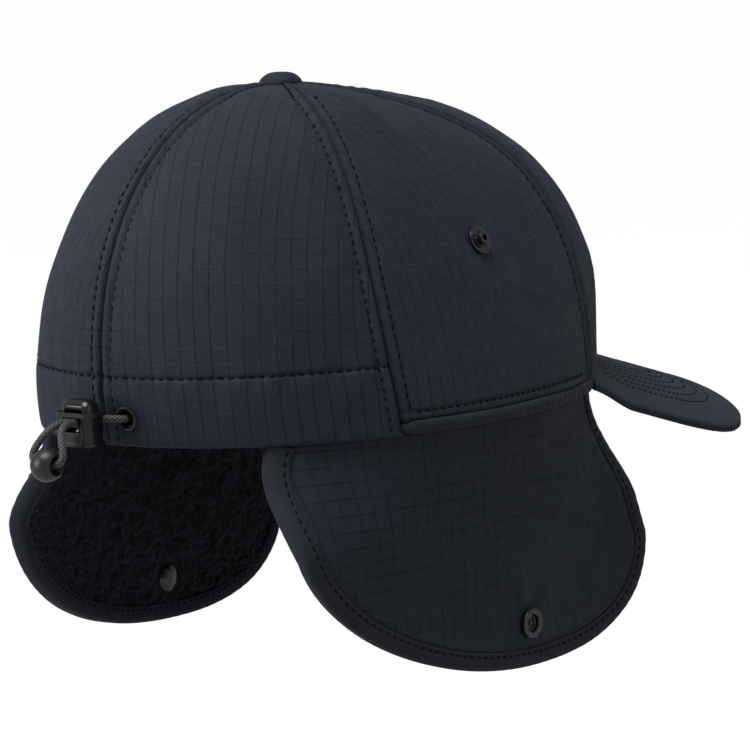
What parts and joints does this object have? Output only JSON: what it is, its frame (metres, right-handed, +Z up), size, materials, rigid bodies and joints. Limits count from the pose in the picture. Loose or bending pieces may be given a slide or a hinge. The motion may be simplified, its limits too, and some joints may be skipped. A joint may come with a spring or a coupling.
{
  "type": "cap with fold-up ear flaps",
  "caption": "Soft panelled winter cap with a stitched visor, fleece-lined ear flaps that fold up to snaps, and a rear drawcord with a sprung lock.",
  "frame": {"origin": "centre of the head opening in the plane of the crown's rim", "axes": "+Z up out of the crown, -Y to the visor, -X to the wearer's right"},
  "size_m": [0.1616, 0.3157, 0.1892],
  "materials": {
    "shell_fabric": "matte ripstop weave",
    "binding_fabric": "matte plain weave",
    "fleece": "matte curled pile",
    "lining_fabric": "smooth lining weave",
    "sweatband_fabric": "matte plain weave",
    "wadding": "matte felt",
    "board": "matte",
    "snap_metal": "satin black",
    "cord_elastic": "braided elastic",
    "lock_plastic": "satin black",
    "spring_steel": "bright wire"
  },
  "bodies": {
    "crown": {"front_panel_right": "shell_fabric", "front_panel_left": "shell_fabric", "side_panel_right": "shell_fabric", "side_panel_left": "shell_fabric", "back_panel_right": "shell_fabric", "back_panel_left": "shell_fabric", "crown_lining": "lining_fabric", "front_stiffener": "wadding", "sweatband": "sweatband_fabric", "casing_facing": "shell_fabric", "side_hem_right": "shell_fabric", "side_hem_left": "shell_fabric", "top_button": "shell_fabric", "button_rivet": "snap_metal", "visor_board": "board", "visor_top_cover": "shell_fabric", "visor_under_cover": "shell_fabric", "crown_stud_right": "snap_metal", "crown_stud_left": "snap_metal", "stud_washer_right": "snap_metal", "stud_washer_left": "snap_metal", "cord_eyelet_right": "snap_metal", "cord_eyelet_left": "snap_metal", "casing_cord_right": "cord_elastic", "casing_cord_left": "cord_elastic", "cord_anchor_right": "shell_fabric", "cord_anchor_left": "shell_fabric", "drawcord_loop": "cord_elastic"},
    "bead": {"cord_bead": "lock_plastic"},
    "cord_lock": {"lock_barrel": "lock_plastic", "lock_spring": "spring_steel"},
    "lock_button": {"lock_plunger": "lock_plastic"},
    "right_flap": {"flap_shell_right": "shell_fabric", "flap_wadding_right": "wadding", "flap_fleece_right": "fleece", "flap_binding_right": "binding_fabric", "flap_socket_right": "snap_metal", "flap_cap_right": "snap_metal"},
    "left_flap": {"flap_shell_left": "shell_fabric", "flap_wadding_left": "wadding", "flap_fleece_left": "fleece", "flap_binding_left": "binding_fabric", "flap_socket_left": "snap_metal", "flap_cap_left": "snap_metal"}
  },
  "joints": [
    {"name": "right_flap_fold", "type": "hinge", "parent": "crown", "child": "right_flap", "pos_m": [-0.0815, 0, -0.004], "axis": [0, 1, 0], "range_deg": [-5, 196.5]},
    {"name": "left_flap_fold", "type": "hinge", "parent": "crown", "child": "left_flap", "pos_m": [0.0815, 0, -0.004], "axis": [0, -1, 0], "range_deg": [-5, 196.5]},
    {"name": "lock_slide", "type": "slide", "parent": "crown", "child": "cord_lock", "axis": [0, 1, 0], "range_m": [0, 0.0035]},
    {"name": "lock_press", "type": "slide", "parent": "cord_lock", "child": "lock_button", "axis": [0, 0, -1], "range_m": [0, 0.002], "stiffness_N_per_m": 400, "springref_m": -0.004, "deforming": ["lock_spring"]},
    {"name": "bead_spin", "type": "hinge", "parent": "crown", "child": "bead", "pos_m": [0, 0.1336, -0.0018], "axis": [1, 0, 0], "continuous": true}
  ]
}
